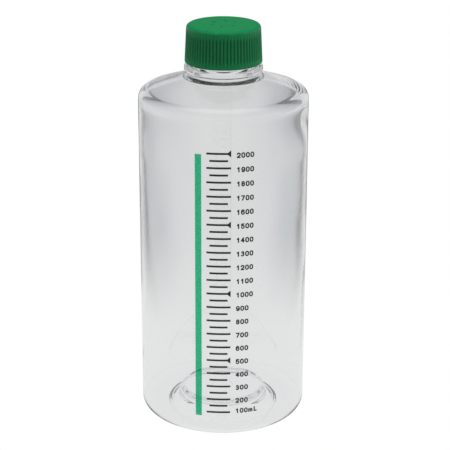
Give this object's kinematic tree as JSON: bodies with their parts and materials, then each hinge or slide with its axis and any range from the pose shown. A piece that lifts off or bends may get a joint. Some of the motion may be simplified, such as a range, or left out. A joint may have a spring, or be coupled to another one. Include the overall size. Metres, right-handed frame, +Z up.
{
  "type": "cell culture roller bottle",
  "caption": "Clear cylindrical cell-culture roller bottle with a printed volume scale, a raised base and a ribbed, vented screw cap that unscrews from its threaded neck.",
  "frame": {"origin": "centre of the foot ring, in the plane the bottle stands on", "axes": "+Z up the bottle's axis, -Y towards the middle of the printed scale, +X to the right of someone reading it"},
  "size_m": [0.116, 0.116, 0.279],
  "materials": {
    "clear_plastic": "gloss",
    "green_plastic": "satin",
    "black_ink": "matte",
    "green_ink": "matte",
    "seal_foam": "matte",
    "membrane": "matte"
  },
  "bodies": {
    "bottle": {"bottle": "clear_plastic", "major_graduations": "black_ink", "minor_graduations": "black_ink", "volume_numerals": "black_ink", "green_stripe": "green_ink"},
    "seal_ring": {"seal_ring": "seal_foam"},
    "cap": {"cap": "green_plastic", "vent_membrane": "membrane", "membrane_backing": "membrane"}
  },
  "joints": [
    {"name": "cap_lift", "type": "slide", "parent": "bottle", "child": "seal_ring", "axis": [0, 0, 1], "range_m": [0, 0.0255]},
    {"name": "cap_turn", "type": "hinge", "parent": "seal_ring", "child": "cap", "pos_m": [0, 0, 0.266], "axis": [0, 0, 1], "range_deg": [0, 2160]}
  ],
  "couplings": [
    {"joint": "cap_lift", "follows": "cap_turn", "m_per_rad": 0.00067375}
  ]
}
